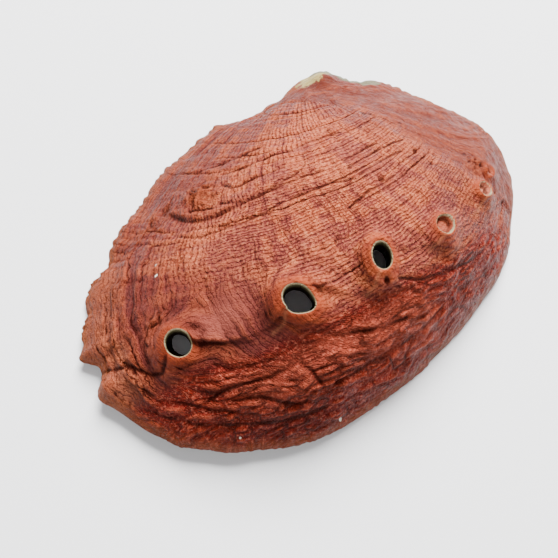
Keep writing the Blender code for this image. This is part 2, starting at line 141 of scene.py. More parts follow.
# Lobes and hollows: x, y, radius, height
LOBES = [
    (-59.5, -4, 16, 2.4), (-25, -22.5, 13, 1.7), (3.5, -31, 11, 1.2), (-38, -45, 7.5, 2.6),
    (-46, -42, 6, 1), (-24, -47, 7, 1.3), (-88, 2.5, 6.5, 2), (-40, -25, 7, -1.8), (-9, -35, 5.5, -1.6),
    (18, -37.5, 5.5, -1.2), (45, -36, 5.5, -1.1), (-74, 3, 7, 1), (-66, -15, 6, -1), (57, 50.5, 8, 2.2),
    (-21.5, 35, 8, 1.1), (-33.5, 31, 5, -0.9), (-39.5, 39.9, 3.6, -1), (-31.9, 41.3, 3.2, -1),
    (-35.5, 43.5, 3.5, 0.8), (25.7, -11.9, 1.9, -3), (22.8, -11.4, 2.2, 0.7), (46.4, -9, 1.6, -2.4),
    (47.5, 18, 2.2, -0.8), (64.5, -18, 2.6, -0.8), (0.2, -40.2, 1.3, -2.4), (58.9, 38.9, 1.6, -1),
    (56.8, 33.1, 1.5, -0.9), (54.1, 6.9, 1.5, -0.8), (46.8, -16.9, 1.5, -0.8), (66.5, -25, 5, 1),
    (-62, 5, 4, 0.6), (10, -45, 6, 1), (28, -46, 6, 0.9), (-60, -24, 8, 1), (-12, -48, 6, 1),
]
# Grooves: depth, half width, points
GROOVES = [
    (0.9, 0.8, [(-38, 29), (-36, 23), (-32, 17), (-27, 13.5), (-20, 9.7), (-12, 6.4), (-4, 4.4), (5, 1),
        (13, -3), (19, -7)]),
    (1, 0.9, [(-31.7, 36.4), (-31.1, 29.1), (-28.3, 25.1), (-24.6, 21.3), (-20.6, 19.1), (-14.3, 16.6),
        (-7.9, 13.3), (0, 10.5), (7, 7.4), (14, 4)]),
    (0.8, 0.9, [(-27.5, 31), (-24.2, 27.2), (-21.1, 23.6)]),
    (0.9, 0.8, [(-19, 24), (-17, 20), (-13, 16), (-8, 13.8), (0, 12), (8, 10.3)]),
    (0.8, 0.8, [(-13, 30), (-11.5, 25), (-9, 22.3), (-3, 20.7), (2, 18.5), (7, 16)]),
    (0.8, 0.9, [(-9, 34), (-2, 29), (6, 25), (13, 21.5), (21, 19), (26, 16.7), (32, 14.5)]),
    (0.6, 0.8, [(-14, 45), (-6, 40), (2, 35), (9, 32)]),
    (0.5, 0.7, [(21, 2.3), (27, 1.6), (33, 2.2), (38, 1.5)]),
    (0.5, 0.7, [(19, -1.3), (28, -1.6), (36, -1.2), (48, -2.4)]),
    (0.5, 0.7, [(20, -6.6), (30, -6), (42, -6.4)]),
    (0.5, 0.7, [(8, -13.7), (17, -13.5), (25, -14), (31, -13.8)]),
    (0.8, 0.7, [(-57.5, -8.5), (-54.9, -13.2), (-51.8, -17.2), (-47.5, -20.8), (-42, -24), (-37, -26),
        (-32.5, -26)]),
    (0.6, 0.7, [(-59.5, 7.5), (-62, 3), (-65.5, 4.5), (-70, 2.2), (-69, -1.5)]),
    (1.3, 1, [(-88, 11), (-84, 7), (-80.5, 3), (-78.5, 0), (-79, -3)]),
    (1.3, 1, [(-79, 4), (-77.5, -2), (-75.5, -7), (-72, -9.8), (-68.5, -8.5), (-66, -6.5)]),
    (1, 1, [(-80, -8), (-78.5, -15), (-74, -21), (-69.5, -26), (-66, -31), (-62, -35)]),
    (1, 1.2, [(-84, -12), (-80, -21), (-74, -29), (-67, -36), (-60, -42), (-52, -48), (-44, -52),
        (-35, -55)]),
    (0.9, 1, [(-67, -27), (-60, -29), (-54, -32), (-48, -36), (-42, -39), (-36, -40)]),
    (0.9, 1, [(-58, -20), (-54, -26), (-48, -30.5), (-42, -34), (-37, -35)]),
    (0.8, 1, [(-60, -33), (-53, -38), (-48, -44), (-44, -48)]),
    (0.9, 0.8, [(-36, -40.5), (-34.3, -44), (-33.8, -49)]),
    (0.9, 1, [(-26, -39), (-22, -43), (-16, -46), (-8, -50), (2, -52)]),
    (0.9, 1, [(-30, -51), (-22, -54), (-10, -56), (4, -57), (16, -56)]),
    (0.8, 1, [(4, -42), (12, -46.5), (22, -49.5), (33, -51), (44, -51)]),
]
# Ledges drop on the right-hand side of the line: drop, reach above, reach below, half width, points
LEDGES = [
    (2, 4, 7, 0.9, [(-58, -8), (-55, -12), (-52, -16), (-48, -21), (-43, -24.5), (-37, -26.8),
        (-31, -26)]),
    (2, 4, 7, 1.6, [(-18, -27), (-15, -32), (-11, -36), (-5, -40), (2, -43)]),
    (1.6, 3.5, 6, 1.6, [(10, -33), (13, -37), (18, -40), (24, -42)]),
    (1.3, 3.5, 3.5, 0.8, [(-31.7, 36.4), (-31.1, 29.1), (-28.3, 25.1), (-24.6, 21.3), (-20.6, 19.1),
        (-14.3, 16.6)]),
    (0.9, 2.5, 26, 3.5, [(60, -29), (55, -24), (50, -15), (48.5, -4), (49, 8), (47.5, 20), (44, 30)]),
]
# Healed slits that run down from each rim: height, half width, points
SLITS = [
    (0.25, 0.6, [(-30.5, -26.5), (-33.5, -28.5), (-38, -27.8)]),
    (0.25, 0.6, [(0, -37.2), (-3, -38.6), (-7, -39.7)]),
    (0.25, 0.6, [(27.5, -40.2), (24, -41.2), (20, -41.7)]),
    (0.25, 0.6, [(55.5, -36.8), (51.5, -38.6), (47, -39.9)]),
]
# Broken edge beside the spire, where the grey layer under the red one shows
BROKEN_EDGE = [(60, 57), (66, 51.5), (69.5, 45.5), (73.5, 37)]
# The blunt crest that runs from the spire to the oldest tubercle
CREST = LEDGES[-1][-1]
# It comes in between these places in x
CREST_FROM = (30, 44)
# Line through the holes; below it lies the steep flank
HOLE_ROW = [
    (-92, -4), (-75, -10), (-62, -13), (-45, -25), (-25.5, -31.5), (4, -39.5), (30, -43), (57, -39.5),
    (92, -28),
]

# The growth spiral about the spire, and where its angle starts and stops being well set
SPIRAL_PITCH = 0.42
SEAM_ANGLE = math.radians(75.0)
LAST_WELL_SET_ANGLE = math.radians(205.0)
# Angles times this radius give the growth patterns in millimetres
PATTERN_RADIUS = 75.0
FINE_SPACING = 1.3
FURROW_SPACING = 3.6
HALT_SPACING = 4.4
CREASE_SPACING = 2.0
LINEATION_SPACING = 1.5385
# Noises drawn out along the cords, and along the growth lines: size across and along in mm, and seed
ALONG_CORDS = {
    "long groove": (6.5, 70, 20), "fine fold": (2.6, 10, 120), "furrow cut": (8, 70, 30),
    "streak": (4.4, 24, 220),
}
ALONG_LINES = {
    "step": (6, 40, 60), "fine step": (2.8, 18, 80), "stripe": (5, 70, 210), "halt cut": (9, 50, 40),
    "band": (13, 60, 200),
}
# Mean height of rounded ridges between 0 and 1, and of folded noise
RIDGE_MEAN = 0.64
FOLD_MEAN = 0.35
# The noise pushes lines sideways by this much, and the ledges by more
LINE_WANDER = 0.5
LEDGE_WANDER = 0.8
END_FADE = 3.0
SLIT_FADE = 1.5
WALL_LIMIT = -2.4
RELIEF_SEED = 41
LATTICE = 64
NACRE_SLOT = 1
FINE_OCTAVES = (4, 5, 6, 7)
COARSE_OCTAVES = (3, 4, 5)
# Outside this share of the radius, a place keeps the angle and share that it had in the grid
GRID_KEPT_FROM = 0.76
# Distances from a hole's middle for the faces that it cuts, the vertices it smooths and its own edges
CUT_REACH, LOOSE_REACH, EDGE_REACH = 9.0, 13.0, 12.0
SMOOTHING_ROUNDS = 12
# Step in mm over which the slope of a pattern is taken, its least value, and the widest distance kept
SLOPE_STEP, LEAST_SLOPE, WIDEST_LINE = 0.15, 0.06, 4.0

# What the outer skin carries for its material, as a value at every vertex
GROWN = (
    "spiral", "growth", "level", "flank", "hollow", "ridge", "cream", "rim", "share", "fold", "fine fold",
    "step", "furrow", "halt", "furrow cut", "halt cut", "band", "streak", "groove", "depth", "crest",
    "young", "collar", "plug", "slit", "worn", "broken edge", "saddle", "past crest", "speck",
    "darker_front_and_far", "tan rim", "lead", "pink_and_sheen", "darker_right",
)


# The grown form
def ring_value(angle, table):
    """Smooth periodic curve through (degrees, value) pairs."""
    knots = np.array([row[0] for row in table], float)
    values = np.array([row[1] for row in table], float)
    knots = np.concatenate([knots[-2:] - 360.0, knots, knots[:2] + 360.0])
    values = np.concatenate([values[-2:], values, values[:2]])
    slopes = np.gradient(values, knots)
    degrees = np.degrees(angle) % 360.0
    i = np.clip(np.searchsorted(knots, degrees, side="right") - 1, 0, len(knots) - 2)
    span = knots[i + 1] - knots[i]
    s = (degrees - knots[i]) / span
    h00 = (1 + 2 * s) * (1 - s) ** 2
    h10 = s * (1 - s) ** 2
    h01 = s * s * (3 - 2 * s)
    h11 = s * s * (s - 1)
    return h00 * values[i] + h10 * span * slopes[i] + h01 * values[i + 1] + h11 * span * slopes[i + 1]


def smooth_step(low, high, value):
    s = np.clip((value - low) / (high - low), 0.0, 1.0)
    return s * s * (3.0 - 2.0 * s)


def bell(distance, width):
    """1 at a distance of 0, falling away over a width."""
    return np.exp(-(distance / width) ** 2)


def spot(x, y, centre_x, centre_y, wide, hollow_shade):
    """1 at a place, falling away over a reach in x and one in y."""
    return bell(x - centre_x, wide) * bell(y - centre_y, hollow_shade)


def crevice(distance, width):
    """1 in a groove, falling to 0 within a width."""
    return 1.0 - smooth_step(0, width, distance)


def lattice_noise(u, v, seed):
    """Smooth noise between -1 and 1 on a square lattice."""
    table = np.random.default_rng(seed).uniform(-1.0, 1.0, (LATTICE, LATTICE))
    iu, iv = np.floor(u).astype(int), np.floor(v).astype(int)
    fu, fv = u - iu, v - iv
    fu, fv = fu * fu * (3 - 2 * fu), fv * fv * (3 - 2 * fv)
    a = table[iu % LATTICE, iv % LATTICE]
    b = table[(iu + 1) % LATTICE, iv % LATTICE]
    c = table[iu % LATTICE, (iv + 1) % LATTICE]
    d = table[(iu + 1) % LATTICE, (iv + 1) % LATTICE]
    return (a * (1 - fu) + b * fu) * (1 - fv) + (c * (1 - fu) + d * fu) * fv


def line_distance(x, y, points):
    """Distance to a line of points, and the side: positive on its right-hand side."""
    best = np.full(x.shape, 1e9)
    side = np.ones(x.shape)
    for (ax, ay), (bx, by) in zip(points[:-1], points[1:]):
        ux, uy = bx - ax, by - ay
        s = np.clip(((x - ax) * ux + (y - ay) * uy) / (ux * ux + uy * uy), 0.0, 1.0)
        distance = np.hypot(x - ax - s * ux, y - ay - s * uy)
        cross = (x - ax) * uy - (y - ay) * ux
        nearer = distance < best
        best = np.where(nearer, distance, best)
        side = np.where(nearer, np.where(cross >= 0, 1.0, -1.0), side)
    return best, side


def wandering_distance(x, y, patterns, wander, points):
    """Distance to a line that the noise makes wander, and the side."""
    return line_distance(x + wander * patterns["warp2"], y + wander * patterns["warp"], points)


def end_fade(x, y, points, length):
    """1 along a line, falling to 0 past its two ends."""
    fade = np.ones(x.shape)
    for (ax, ay), (bx, by) in ((points[0], points[1]), (points[-1], points[-2])):
        ux, uy = bx - ax, by - ay
        along = ((x - ax) * ux + (y - ay) * uy) / math.hypot(ux, uy)
        fade = fade * smooth_step(-length, length * 0.4, along)
    return fade


def crown_polar(x, y):
    dx, dy = x - CROWN[0], y - CROWN[1]
    angle = np.arctan2(dy, dx)
    return angle, np.hypot(dx, dy) / ring_value(angle, DOME_MARGIN)


def dome_height(angle, r, crown_height, edge_rise):
    """Height of the smooth dome at share r of the way from crown to margin."""
    edge = ring_value(angle, MARGIN_LIFT) + edge_rise
    n = ring_value(angle, FULLNESS_N)
    m = ring_value(angle, FULLNESS_M)
    return edge + (crown_height - edge) * np.clip(1.0 - np.clip(r, 0.0, 1.0) ** n, 0.0, 1.0) ** m


def drawn_out(place, angle):
    """How far an oval's rim is drawn out at an angle, 1 for a plain oval."""
    return 1.0 + POINTED.get(place, 0.0) * np.clip(-np.cos(angle), 0.0, 1.0) ** POINT_SHARPNESS


def oval_parts(x, y, place):
    """Share of the way out to an oval rim, and the angle within the oval."""
    turn = math.radians(place[4])
    dx, dy = x - place[0], y - place[1]
    u = (dx * math.cos(turn) + dy * math.sin(turn)) / place[2]
    v = (-dx * math.sin(turn) + dy * math.cos(turn)) / place[3]
    angle = np.arctan2(v, u)
    return np.hypot(u, v) / drawn_out(place, angle), angle


def oval_distance(x, y, place):
    share, _ = oval_parts(x, y, place)
    return (share - 1.0) * 0.5 * (place[2] + place[3])


def with_chimneys(x, y, z):
    """Raises the rims of the open and the closed holes out of the dome."""
    for place in HOLES + SCARS:
        outside = np.maximum(oval_distance(x, y, place), 0.0)
        plane = place[5] + place[6] * (x - place[0]) + place[7] * (y - place[1])
        reach = CHIMNEY_REACH * (CHIMNEY_BASE + CHIMNEY_BY_SIZE * min(place[2], place[3]))
        blend = (1.0 - smooth_step(0, 1, outside / reach)) ** CHIMNEY_FALL
        z = z + blend * np.maximum(plane - z, CHIMNEY_CUT)
    return z


def growth_fields(x, y):
    """Spiral coordinate t, age angle and radius about the spire."""
    dx, dy = x - SPIRE[0], y - SPIRE[1]
    radius = np.hypot(dx, dy) + 0.5
    phi = (np.arctan2(dy, dx) - SEAM_ANGLE) % (2 * math.pi) + SEAM_ANGLE
    t = np.log(radius) + SPIRAL_PITCH * phi
    turn = np.radians(np.arange(62.0, 262.0, 1.0))
    reach = ring_value(turn, DOME_MARGIN)
    mx = CROWN[0] + reach * np.cos(turn) - SPIRE[0]
    my = CROWN[1] + reach * np.sin(turn) - SPIRE[1]
    psi = np.arctan2(my, mx) % (2 * math.pi)
    level = np.log(np.hypot(mx, my)) + SPIRAL_PITCH * psi
    kept = psi < LAST_WELL_SET_ANGLE
    level = np.maximum.accumulate(level[kept]) + 1e-6 * np.arange(kept.sum())
    age = phi - np.interp(t, level, psi[kept])
    # Growth lines bow out around each hole's rim
    for place in HOLES + SCARS:
        outside = np.maximum(oval_distance(x, y, place), 0.0)
        age = age + HOLE_BOW * bell(outside, BOW_REACH)
    return t, age, radius


def even_noise(along_u, across_v, radius, fine, long, seed):
    """Noise in growth coordinates whose grain stays the same size in mm: fine one way, long the other."""
    level = np.log2(2.0 * radius / fine)
    total = np.zeros(radius.shape)
    weight = np.zeros(radius.shape)
    for octave in range(2, 10):
        w = np.clip(1.0 - np.abs(level - octave), 0.0, 1.0)
        scale = 2.0 ** octave
        total += w * lattice_noise(across_v * scale, along_u * scale * fine / long, seed + octave)
        weight += w * w
    return total / np.sqrt(np.maximum(weight, 0.5))


def flank_share(x, y):
    distance, side = line_distance(x, y, HOLE_ROW)
    return smooth_step(0, 9, distance * side) * (1.0 - FLANK_LOSS * smooth_step(*FLANK_END, x))


def octave_ridges(coordinate, radius, spacing):
    """Rounded ridges, 0 in their sharp grooves and 1 on top; their spacing in mm stays near the given."""
    level = np.log2(radius / spacing)
    total = np.zeros(radius.shape)
    for octave in range(2, 9):
        weight = np.clip(1.0 - np.abs(level - octave), 0.0, 1.0)
        total += weight * np.abs(np.sin(math.pi * coordinate * 2.0 ** octave))
    return total


def growth_noises(x, y):
    """The noises that run with the growth of the shell: warped coordinates first, then patterns."""
    t, age, radius = growth_fields(x, y)
    flank = flank_share(x, y)
    seed = RELIEF_SEED
    warp = lattice_noise(x / 13.0, y / 13.0, seed)
    warp2 = lattice_noise(x / 6.0, y / 6.0, seed + 7)
    tw = t + (0.7 * warp + 0.25 * warp2) / PATTERN_RADIUS
    aw = age + (0.9 * warp2 - 0.5 * warp) / PATTERN_RADIUS
    found = {name: even_noise(aw, tw, radius, fine, long, seed + own)
             for name, (fine, long, own) in ALONG_CORDS.items()}
    found.update({name: even_noise(tw, aw, radius, fine, long, seed + own)
                  for name, (fine, long, own) in ALONG_LINES.items()})
    wrinkles = even_noise(aw, tw + 0.8 * warp / PATTERN_RADIUS, radius, 5.0, 18.0, seed + 100)
    found.update({
        "spiral": tw, "growth": aw, "radius": radius, "flank": flank, "warp": warp, "warp2": warp2,
        "fold": (1.0 - flank) * found["long groove"] + flank * wrinkles,
        "furrow": tw + 0.35 * found["fine step"] / PATTERN_RADIUS,
        "halt": aw + 0.5 * found["fine fold"] / PATTERN_RADIUS,
        "furrow cut": smooth_step(-0.05, 0.85, found["furrow cut"]),
        "halt cut": smooth_step(-0.35, 0.65, found["halt cut"]),
    })
    return found


def saddle_share(x, y):
    """1 on the smooth saddle between the first two holes, above the crease."""
    _, below = line_distance(x, y, LEDGES[0][-1])
    return spot(x, y, *SADDLE) * (below < 0.0)


def young_share(x, y, r, flank):
    """1 where growth lines take over from cords: by the growing edge, the margin and past the crest."""
    crest, side = line_distance(x, y, CREST)
    past_crest = smooth_step(-3, 8, crest * side) * smooth_step(*CREST_FROM, x)
    margin = smooth_step(0.74, 0.94, r) * (1.0 - flank)
    return np.maximum(smooth_step(-18, -58, x + 0.5 * y), np.maximum(0.85 * past_crest, 0.75 * margin))


def growth_patterns(x, y):
    """The growth noises, with the distance in mm to the zero lines of three of them."""
    found = growth_noises(x, y)
    beside, above = growth_noises(x + SLOPE_STEP, y), growth_noises(x, y + SLOPE_STEP)
    for name in ("fold", "fine fold", "step"):
        slope = np.hypot(beside[name] - found[name], above[name] - found[name]) / SLOPE_STEP
        away = found[name] / np.maximum(slope, LEAST_SLOPE)
        found[name + " line"] = np.clip(away, -WIDEST_LINE, WIDEST_LINE)
    return found


def relief(x, y, r, p):
    """Height of the grown relief along the surface normal, in mm."""
    flank, radius, warp, warp2 = p["flank"], p["radius"], p["warp"], p["warp2"]
    t, age, seed = p["spiral"], p["growth"], RELIEF_SEED
    top = 1.0 - flank
    front = smooth_step(-58, -74, x)
    crest, crest_side = line_distance(x, y, CREST)
    old = smooth_step(0, 6, crest * crest_side) * smooth_step(*CREST_FROM, x)
    coarse = top * (1.0 - 0.7 * old)
    patchy = coarse * (0.65 + 0.35 * lattice_noise(x / 17.0, y / 17.0, seed + 11))
    young = young_share(x, y, r, flank)
    furrows = octave_ridges(p["furrow"], radius, FURROW_SPACING)
    halts = octave_ridges(p["halt"], radius, HALT_SPACING)

    # Where each pattern lies, its height in mm, and the pattern
    h = sum(where * height * pattern for where, height, pattern in (
        # Spiral cords over the top, parted by furrows that are cut deeper in long stretches
        (top, 0.30 - 0.12 * young, p["fold"]),
        (patchy, 0.52 - 0.44 * young, furrows - RIDGE_MEAN),
        (coarse, 0.80 * young - 0.95, p["furrow cut"] * crevice(furrows, 0.55)),
        # Growth lines across the cords, with halts
        (coarse, 0.20 + 0.22 * young, p["step"]),
        (patchy, 0.12 + 0.10 * young, p["fine step"]),
        (coarse, 0.12 + 0.24 * young, halts - RIDGE_MEAN),
        (coarse, -0.16 - 0.50 * young, p["halt cut"] * crevice(halts, 0.50)),
        (top, 0.75 * young, p["stripe"]),
        (coarse, 0.26, lattice_noise(x / 8.0 + warp, y / 8.0, seed + 90)),
        (top, 0.20, lattice_noise(x / 2.0 + warp, y / 2.0, seed + 95)),
        # The flank: gentle swells under sharp wrinkles
        (flank, 0.60, even_noise(age, t, radius, 18.0, 40.0, seed + 110)),
        (flank, 0.35, lattice_noise(x / 6.0 + warp, y / 4.5, seed + 150)),
        (flank, 0.40, np.abs(p["fold"]) - FOLD_MEAN),
        (flank, 0.75, np.abs(p["fine fold"]) - FOLD_MEAN),
        (flank, 0.45, even_noise(age, t, radius, 1.8, 5.5, seed + 140)),
        # Growth folds, bold at the front end
        (front, 0.55, even_noise(t, age, radius, 5.5, 30.0, seed + 160)),
        (front, 0.45, np.abs(p["fine step"]) - FOLD_MEAN)))
    h = h * (1.0 - 0.5 * smooth_step(0.93, 1.0, r))
    saddle = saddle_share(x, y)
    fine_rings = np.sin(oval_distance(x, y, HOLES[0]) * 4.2 + 2.0 * warp2)
    h = h * (1.0 - 0.85 * saddle) + 0.14 * saddle * fine_rings

    for place in HOLES:
        outside = oval_distance(x, y, place)
        h = h * (0.12 + 0.88 * smooth_step(0.5, 7.5, np.abs(outside)))
        h += CHIMNEY_LIP * bell(np.maximum(outside - 0.4, 0.0), 2.3)
        # A dip round the foot of the rim, deeper on the flank side
        h -= (0.5 + 1.1 * flank) * bell(outside - 9.0, 3.0)
        # Fine growth rings up the wall of the rim
        h += 0.26 * np.sin(outside * 3.9 + 2.0 * warp2) * bell(np.maximum(outside, 0.0), 6.0)
    for place in SCARS:
        pit_depth, lip_height = place[8:10]
        outside = oval_distance(x, y, place)
        h = h * (0.35 + 0.65 * smooth_step(0.5, 5.0, np.abs(outside)))
        h += lip_height * bell(np.maximum(outside + 0.1, 0.0), 1.1) * (1.0 + 0.5 * warp2)
        h += 0.12 * np.sin(outside * 4.4 + 2.0 * warp2) * bell(np.maximum(outside, 0.0), 5.0)
        h -= (pit_depth + lip_height) * smooth_step(0.2, -1.5, outside)

    for depth, width, points in GROOVES:
        distance, _ = wandering_distance(x, y, p, LINE_WANDER, points)
        h -= depth * bell(distance, 0.8 * width) * end_fade(x, y, points, END_FADE)
    for drop, above, below, width, points in LEDGES:
        distance, side = wandering_distance(x, y, p, LEDGE_WANDER, points)
        signed = distance * side
        fall = smooth_step(-width, width, signed)
        shape = (1.0 - fall) * 0.4 * bell(signed, above) - fall * bell(signed, below)
        h += drop * shape * end_fade(x, y, points, 4.0)
    for lobe_x, lobe_y, size, height in LOBES:
        h += height * spot(x, y, lobe_x, lobe_y, 0.6 * size, 0.6 * size)
    for height, width, points in SLITS:
        distance, _ = line_distance(x, y, points)
        h += height * bell(distance, width) * end_fade(x, y, points, SLIT_FADE)
    # Worn rough patches, crumbled in pits
    crumbs = np.abs(lattice_noise(x / 1.7 + warp2, y / 1.9 + warp, seed + 170))
    for patch_x, patch_y, size, depth in ROUGH_PATCHES:
        h += depth * spot(x, y, patch_x, patch_y, size, size) * (0.9 - 2.6 * crumbs)
    # No hollow goes deeper than the wall can take
    low = np.minimum(h, 0.0)
    return np.maximum(h, 0.0) + low / (1.0 + low / WALL_LIMIT)


# Modelling
def placed(thing):
    """Puts an object in the scene."""
    bpy.context.scene.collection.objects.link(thing)
    return thing


def finished(bm, name):
    """Makes an object of a modelled mesh."""
    mesh = bpy.data.meshes.new(name)
    bm.to_mesh(mesh)
    bm.free()
    return placed(bpy.data.objects.new(name, mesh))


def disc_polar(u, v):
    """Turns square grid places (-1 to 1) to angle and share of the radius in a disc."""
    dx = u * np.sqrt(1.0 - 0.5 * v * v)
    dy = v * np.sqrt(1.0 - 0.5 * u * u)
    return np.arctan2(dy, dx), np.hypot(dx, dy)


def margin_reach(angle, r):
    """Distance from the crown; the ends of the growth lines give the margin small teeth."""
    smooth = ring_value(angle, DOME_MARGIN)
    edge = ring_value(angle, MARGIN)
    coarse, fine = TOOTH_WIDTHS
    teeth = lattice_noise(angle * edge / coarse, 0.0 * angle, RELIEF_SEED + 300)
    teeth += 0.6 * lattice_noise(angle * edge / fine, 0.0 * angle, RELIEF_SEED + 301)
    far_side = smooth_step(0.35, 0.6, angle) * smooth_step(2.9, 2.6, angle)
    reach = r * (smooth + (edge - smooth) * smooth_step(MARGIN_FROM, 1.0, r))
    return reach + (TOOTH_HEIGHT + FAR_TOOTH_HEIGHT * far_side) * teeth * smooth_step(TEETH_FROM, 1.0, r)


def spread_sheet(bm, cells, inset, ovals):
    """A flat grid laid over the shell's plan, with clean oval openings cut in it."""
    verts = bmesh.ops.create_grid(bm, x_segments=cells, y_segments=cells, size=1.0)["verts"]
    flat = np.array([vert.co[:] for vert in verts])
    angle, r = disc_polar(flat[:, 0], flat[:, 1])
    r = np.minimum(r, 1.0)
    reach = margin_reach(angle, r) - r * inset
    xs, ys = CROWN[0] + reach * np.cos(angle), CROWN[1] + reach * np.sin(angle)
    place_of = {}
    for vert, x, y, a, share in zip(verts, xs, ys, angle, r):
        vert.co = (x, y, 0.0)
        place_of[vert] = (a, share)
    faces = {face for vert in verts for face in vert.link_faces}
    for oval in ovals:
        near = [face for face in faces if abs(face.calc_center_median().x - oval[0]) < CUT_REACH]
        centres = np.array([face.calc_center_median()[:2] for face in near])
        share, _ = oval_parts(centres[:, 0], centres[:, 1], oval)
        gone = [face for face, inside in zip(near, share < 1.0) if inside]
        bmesh.ops.delete(bm, geom=gone, context="FACES")
        faces = {face for face in faces if face.is_valid}
        around = [vert for vert in verts if vert.is_valid
                  and math.hypot(vert.co.x - oval[0], vert.co.y - oval[1]) < LOOSE_REACH]
        rim = [vert for vert in around if vert.is_boundary]
        co = np.array([vert.co[:2] for vert in rim])
        _, turn = oval_parts(co[:, 0], co[:, 1], oval)
        order = np.argsort(turn)
        even = np.linspace(-math.pi, math.pi, len(rim), endpoint=False)
        even += np.mean(turn[order] - even)
        tilt = math.radians(oval[4])
        for i, index in enumerate(order):
            a = 0.25 * turn[index] + 0.75 * even[i]
            u = drawn_out(oval, a) * oval[2] * math.cos(a)
            v = drawn_out(oval, a) * oval[3] * math.sin(a)
            rim[index].co.x = oval[0] + u * math.cos(tilt) - v * math.sin(tilt)
            rim[index].co.y = oval[1] + u * math.sin(tilt) + v * math.cos(tilt)
        loose = [vert for vert in around if not vert.is_boundary]
        for _ in range(SMOOTHING_ROUNDS):
            bmesh.ops.smooth_vert(bm, verts=loose, factor=0.5, use_axis_x=True, use_axis_y=True)
    verts = [vert for vert in verts if vert.is_valid]
    co = np.array([vert.co[:] for vert in verts])
    x, y = co[:, 0], co[:, 1]
    kept = np.array([place_of[vert] for vert in verts])
    angle, r = crown_polar(x, y)
    edge = kept[:, 1] > GRID_KEPT_FROM
    angle, r = np.where(edge, kept[:, 0], angle), np.where(edge, kept[:, 1], r)
    return verts, x, y, angle, r


def open_edges(verts):
    """The open edges at some vertices, each once and always in the same order."""
    return list(dict.fromkeys(edge for vert in verts for edge in vert.link_edges if edge.is_boundary))


def boundary_near(verts, oval):
    """The open edges of one sheet around an oval, or its outer margin when oval is None."""
    found = []
    for edge in open_edges(vert for vert in verts if vert.is_valid):
        middle = (edge.verts[0].co + edge.verts[1].co) * 0.5
        away = [math.hypot(middle.x - place[0], middle.y - place[1]) for place in HOLES]
        nearest = HOLES[away.index(min(away))] if min(away) < EDGE_REACH else None
        if nearest is oval:
            found.append(edge)
    return found


def roll_edge(bm, edges, centre, steps):
    """Extrudes an open edge loop in rings, so far towards the centre and down; gives their vertices."""
    rings = []
    for inward, down in steps:
        new = bmesh.ops.extrude_edge_only(bm, edges=edges)["geom"]
        fresh = [item for item in new if isinstance(item, bmesh.types.BMVert)]
        edges = [item for item in new if isinstance(item, bmesh.types.BMEdge)]
        for vert in fresh:
            to_centre = Vector((centre[0] - vert.co.x, centre[1] - vert.co.y, 0.0)).normalized()
            vert.co += to_centre * inward + Vector((0.0, 0.0, -down))
        rings.append(fresh)
    return rings


def diffuse(values, edges, rounds):
    """Averages a value over neighbouring vertices."""
    count = np.bincount(edges.ravel(), minlength=len(values)).astype(float)
    for _ in range(rounds):
        total = np.bincount(edges[:, 0], values[edges[:, 1]], len(values))
        total += np.bincount(edges[:, 1], values[edges[:, 0]], len(values))
        values = 0.5 * values + 0.5 * total / np.maximum(count, 1.0)
    return values


